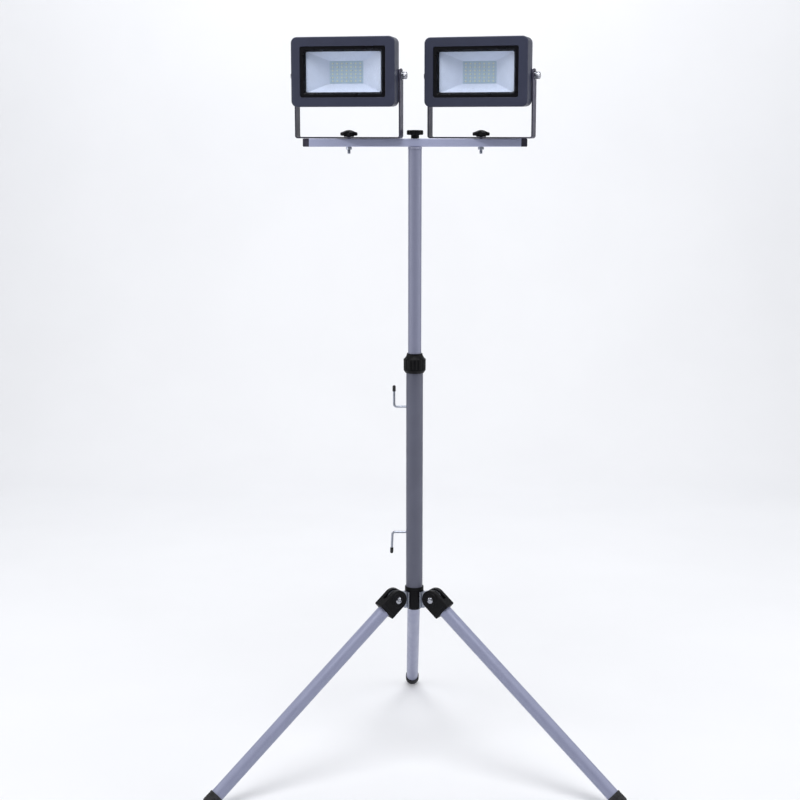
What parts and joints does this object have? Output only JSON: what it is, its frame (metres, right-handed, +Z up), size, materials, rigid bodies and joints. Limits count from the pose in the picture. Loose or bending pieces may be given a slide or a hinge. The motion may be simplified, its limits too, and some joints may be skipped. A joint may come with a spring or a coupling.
{
  "type": "tripod work light",
  "caption": "Twin-head LED floodlight on a telescopic mast with a folding tripod base, swivelling crossbar, tilting heads in U brackets and cable hooks.",
  "frame": {"origin": "middle of the footprint's bounding box, on the floor that the three feet stand on; the mast's axis is 108.4 mm in front of it, at x = 0, y = -0.1084 m", "axes": "+Z up along the mast; the lamps and the two front legs face -Y; +X is to the right of a viewer who stands in front and looks along +Y"},
  "size_m": [0.7834, 0.6824, 1.4033],
  "materials": {
    "black_plastic": "moulded glass-filled nylon, fine matt grain",
    "black_rubber": "moulded rubber, matt",
    "silver_coat": "silver-grey powder coat on steel tube, satin",
    "grey_coat": "mid-grey powder coat on steel tube, satin",
    "bracket_coat": "anthracite powder coat on steel strip",
    "housing_coat": "anthracite powder coat on die-cast aluminium, fine texture",
    "zinc_plate": "bright zinc plate",
    "bright_steel": "bright plated steel",
    "reflector_white": "white-coated pressed aluminium",
    "clear_glass": "clear toughened glass",
    "led_board": "white solder mask on aluminium, yellow LED phosphor",
    "grey_silicone": "silicone rubber"
  },
  "bodies": {
    "stand": {"tripod_hub": "black_plastic", "leg_lug_left": "zinc_plate", "leg_lug_right": "zinc_plate", "leg_lug_rear": "zinc_plate", "leg_rivet_left": "bright_steel", "leg_rivet_right": "bright_steel", "leg_rivet_rear": "bright_steel", "lower_mast": "grey_coat", "collar_sleeve": "black_plastic", "collet": "black_plastic", "cable_hook_upper": "zinc_plate", "cable_hook_lower": "zinc_plate", "hook_tip_upper": "black_rubber", "hook_tip_lower": "black_rubber"},
    "leg_left": {"leg_knuckle_left": "black_plastic", "leg_tube_left": "silver_coat", "leg_foot_left": "black_rubber"},
    "leg_right": {"leg_knuckle_right": "black_plastic", "leg_tube_right": "silver_coat", "leg_foot_right": "black_rubber"},
    "leg_rear": {"leg_knuckle_rear": "black_plastic", "leg_tube_rear": "silver_coat", "leg_foot_rear": "black_rubber"},
    "collar_nut": {"collar_nut": "black_plastic"},
    "upper_mast": {"upper_mast": "silver_coat", "mast_guide": "black_plastic", "mast_top_plug": "black_plastic"},
    "crossbar": {"crossbar": "silver_coat", "crossbar_cap_left": "black_plastic", "crossbar_cap_right": "black_plastic", "left_stud_nut": "zinc_plate", "right_stud_nut": "zinc_plate"},
    "centre_knob": {"centre_knob": "black_plastic"},
    "left_knob": {"left_knob": "black_plastic"},
    "left_bracket": {"left_bracket": "bracket_coat"},
    "left_head": {"left_housing": "housing_coat", "left_bezel": "black_plastic", "left_glass": "clear_glass", "left_gasket": "grey_silicone", "left_reflector": "reflector_white", "left_led_board": "led_board", "left_driver_cover": "housing_coat", "left_driver": "black_plastic", "left_cable_gland": "black_plastic", "left_tilt_bolt_left": "bright_steel", "left_tilt_bolt_right": "bright_steel"},
    "right_knob": {"right_knob": "black_plastic"},
    "right_bracket": {"right_bracket": "bracket_coat"},
    "right_head": {"right_housing": "housing_coat", "right_bezel": "black_plastic", "right_glass": "clear_glass", "right_gasket": "grey_silicone", "right_reflector": "reflector_white", "right_led_board": "led_board", "right_driver_cover": "housing_coat", "right_driver": "black_plastic", "right_cable_gland": "black_plastic", "right_tilt_bolt_left": "bright_steel", "right_tilt_bolt_right": "bright_steel"}
  },
  "joints": [
    {"name": "leg_left_fold", "type": "hinge", "parent": "stand", "child": "leg_left", "pos_m": [-0.0375, -0.13005, 0.34308], "axis": [0.5, -0.866, 0], "range_deg": [0, 50]},
    {"name": "leg_right_fold", "type": "hinge", "parent": "stand", "child": "leg_right", "pos_m": [0.0375, -0.13005, 0.34308], "axis": [0.5, 0.866, 0], "range_deg": [0, 50]},
    {"name": "leg_rear_fold", "type": "hinge", "parent": "stand", "child": "leg_rear", "pos_m": [0, -0.0651, 0.34308], "axis": [-1, 0, 0], "range_deg": [0, 50]},
    {"name": "collar_turn", "type": "hinge", "parent": "stand", "child": "collar_nut", "pos_m": [0, -0.1084, 0.7905], "axis": [0, 0, 1], "range_deg": [0, 180]},
    {"name": "mast_slide", "type": "slide", "parent": "stand", "child": "upper_mast", "axis": [0, 0, 1], "range_m": [-0.365, 0.04]},
    {"name": "crossbar_swivel", "type": "hinge", "parent": "upper_mast", "child": "crossbar", "pos_m": [0, -0.1084, 1.2064], "axis": [0, 0, 1], "continuous": true},
    {"name": "centre_knob_turn", "type": "hinge", "parent": "upper_mast", "child": "centre_knob", "pos_m": [0, -0.1084, 1.2214], "axis": [0, 0, 1], "range_deg": [0, 720]},
    {"name": "left_knob_turn", "type": "hinge", "parent": "crossbar", "child": "left_knob", "pos_m": [-0.1223, -0.1084, 1.2217], "axis": [0, 0, 1], "range_deg": [0, 720]},
    {"name": "left_lamp_swivel", "type": "hinge", "parent": "crossbar", "child": "left_bracket", "pos_m": [-0.1223, -0.1084, 1.2217], "axis": [0, 0, 1], "continuous": true},
    {"name": "left_lamp_tilt", "type": "hinge", "parent": "left_bracket", "child": "left_head", "pos_m": [-0.1223, -0.1084, 1.3348], "axis": [0.9711, -0.2385, 0], "range_deg": [-90, 90]},
    {"name": "right_knob_turn", "type": "hinge", "parent": "crossbar", "child": "right_knob", "pos_m": [0.1223, -0.1084, 1.2217], "axis": [0, 0, 1], "range_deg": [0, 720]},
    {"name": "right_lamp_swivel", "type": "hinge", "parent": "crossbar", "child": "right_bracket", "pos_m": [0.1223, -0.1084, 1.2217], "axis": [0, 0, 1], "continuous": true},
    {"name": "right_lamp_tilt", "type": "hinge", "parent": "right_bracket", "child": "right_head", "pos_m": [0.1223, -0.1084, 1.3348], "axis": [0.9472, -0.3206, 0], "range_deg": [-90, 90]}
  ]
}
